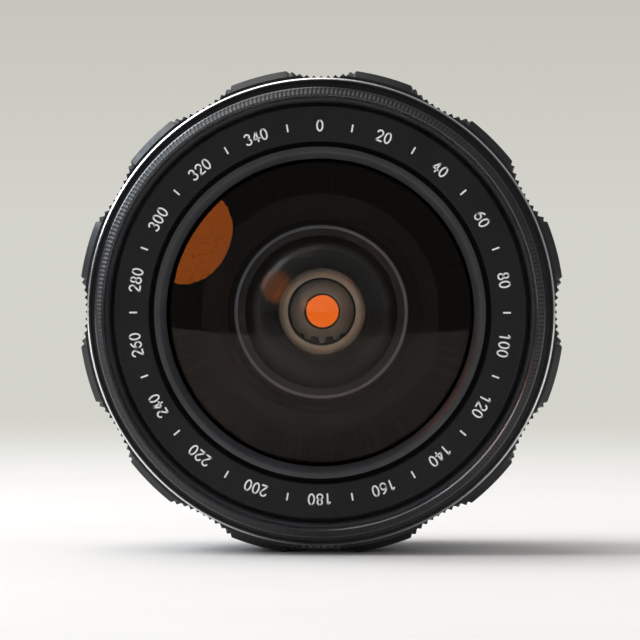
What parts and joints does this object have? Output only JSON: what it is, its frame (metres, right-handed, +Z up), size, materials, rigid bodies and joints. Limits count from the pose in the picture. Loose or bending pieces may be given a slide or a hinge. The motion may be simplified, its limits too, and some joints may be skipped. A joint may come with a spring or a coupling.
{
  "type": "fisheye lens",
  "caption": "Short fisheye camera lens with a screw mount, scalloped focus ring, aperture ring, bulging front glass and a filter turret turned from the front.",
  "frame": {"origin": "centre of the mount's seating face, on the optical axis", "axes": "optical axis along Y with the front towards -Y and the mount thread towards +Y; +Z up"},
  "size_m": [0.0692, 0.0402, 0.0692],
  "materials": {
    "black_anodised": "satin black anodised",
    "inner_black": "matte black",
    "mount_metal": "satin chrome",
    "bright_edge": "bare satin aluminium",
    "bezel_grey": "satin dark grey",
    "steel": "turned steel",
    "spring_steel": "drawn wire",
    "brass": "turned brass",
    "turret_metal": "dark anodised",
    "blade_steel": "blackened steel",
    "coated_glass": "polished, amber coated",
    "orange_glass": "polished",
    "yellow_glass": "polished",
    "clear_glass": "polished"
  },
  "bodies": {
    "fixed_body": {"mount_ring": "mount_metal", "mount_screws": "steel", "base_barrel": "inner_black", "guide_bush": "brass", "depth_scale_ring": "black_anodised", "depth_ring_screws": "steel", "focus_stop_ring": "steel", "pin_spring": "spring_steel"},
    "pin": {"stop_down_pin": "steel"},
    "switch": {"mode_switch": "mount_metal"},
    "aperture": {"aperture_ring": "black_anodised", "aperture_lever": "steel", "click_ball": "steel", "click_spring": "spring_steel"},
    "focus": {"focus_ring": "black_anodised", "focus_edge_ring": "bright_edge", "focus_cam_ring": "brass", "focus_set_screws": "steel"},
    "optics": {"lens_barrel": "inner_black", "cam_followers": "brass", "front_housing": "inner_black", "housing_screws": "steel", "name_ring": "black_anodised", "front_retaining_ring": "bezel_grey", "front_element": "coated_glass", "second_cell": "inner_black", "second_element": "coated_glass", "second_retaining_ring": "bezel_grey", "pair_cell": "inner_black", "pair_front_glass": "coated_glass", "pair_rear_glass": "coated_glass", "pair_retaining_ring": "inner_black", "iris_housing": "inner_black", "iris_cover": "inner_black", "rear_cell": "inner_black", "rear_glass_1": "coated_glass", "rear_glass_2": "coated_glass", "rear_glass_3": "coated_glass", "rear_glass_4": "coated_glass", "rear_glass_5": "coated_glass", "rear_glass_6": "coated_glass", "rear_spacers": "inner_black", "rear_retaining_ring": "inner_black", "turret_axle": "steel", "detent_ball": "steel", "detent_spring": "spring_steel"},
    "filter": {"filter_ring": "black_anodised"},
    "turret": {"filter_turret": "turret_metal", "filter_clear": "clear_glass", "filter_yellow": "yellow_glass", "filter_orange": "orange_glass", "filter_retainers": "turret_metal"},
    "iris_cam": {"iris_cam_ring": "brass"},
    "blade_1": {"iris_blade_1": "blade_steel"},
    "blade_2": {"iris_blade_2": "blade_steel"},
    "blade_3": {"iris_blade_3": "blade_steel"},
    "blade_4": {"iris_blade_4": "blade_steel"},
    "blade_5": {"iris_blade_5": "blade_steel"}
  },
  "joints": [
    {"name": "focus_turn", "type": "hinge", "parent": "fixed_body", "child": "focus", "pos_m": [0, 0, 0], "axis": [0, -1, 0], "range_deg": [0, 100]},
    {"name": "optical_slide", "type": "slide", "parent": "fixed_body", "child": "optics", "axis": [0, -1, 0], "range_m": [0, 0.0017]},
    {"name": "aperture_turn", "type": "hinge", "parent": "fixed_body", "child": "aperture", "pos_m": [0, 0, 0], "axis": [0, -1, 0], "range_deg": [0, 55]},
    {"name": "iris_cam_turn", "type": "hinge", "parent": "optics", "child": "iris_cam", "pos_m": [0, 0, 0], "axis": [0, -1, 0], "range_deg": [0, 55]},
    {"name": "filter_turn", "type": "hinge", "parent": "optics", "child": "filter", "pos_m": [0, 0, 0], "axis": [0, -1, 0], "range_deg": [0, 145.71]},
    {"name": "turret_turn", "type": "hinge", "parent": "optics", "child": "turret", "pos_m": [0, 0, 0.011], "axis": [0, -1, 0], "range_deg": [0, 240.01]},
    {"name": "pin_press", "type": "slide", "parent": "fixed_body", "child": "pin", "axis": [0, -1, 0], "range_m": [0, 0.0024], "stiffness_N_per_m": 250, "springref_m": -0.002, "deforming": ["pin_spring"]},
    {"name": "switch_turn", "type": "hinge", "parent": "fixed_body", "child": "switch", "pos_m": [0, 0, 0], "axis": [0, -1, 0], "range_deg": [0, 12]},
    {"name": "blade_1_turn", "type": "hinge", "parent": "optics", "child": "blade_1", "pos_m": [0.0078, 0, 0], "axis": [0, -1, 0], "range_deg": [0, 26.7]},
    {"name": "blade_2_turn", "type": "hinge", "parent": "optics", "child": "blade_2", "pos_m": [0.00241, 0, 0.00742], "axis": [0, -1, 0], "range_deg": [0, 26.7]},
    {"name": "blade_3_turn", "type": "hinge", "parent": "optics", "child": "blade_3", "pos_m": [-0.00631, 0, 0.00458], "axis": [0, -1, 0], "range_deg": [0, 26.7]},
    {"name": "blade_4_turn", "type": "hinge", "parent": "optics", "child": "blade_4", "pos_m": [-0.00631, 0, -0.00458], "axis": [0, -1, 0], "range_deg": [0, 26.7]},
    {"name": "blade_5_turn", "type": "hinge", "parent": "optics", "child": "blade_5", "pos_m": [0.00241, 0, -0.00742], "axis": [0, -1, 0], "range_deg": [0, 26.7]}
  ],
  "couplings": [
    {"joint": "optical_slide", "follows": "focus_turn", "m_per_rad": 0.00097402},
    {"joint": "iris_cam_turn", "follows": "aperture_turn", "ratio": 1},
    {"joint": "turret_turn", "follows": "filter_turn", "ratio": 1.6471},
    {"joint": "blade_1_turn", "follows": "aperture_turn", "ratio": 0.48518},
    {"joint": "blade_2_turn", "follows": "aperture_turn", "ratio": 0.48518},
    {"joint": "blade_3_turn", "follows": "aperture_turn", "ratio": 0.48518},
    {"joint": "blade_4_turn", "follows": "aperture_turn", "ratio": 0.48518},
    {"joint": "blade_5_turn", "follows": "aperture_turn", "ratio": 0.48518}
  ]
}
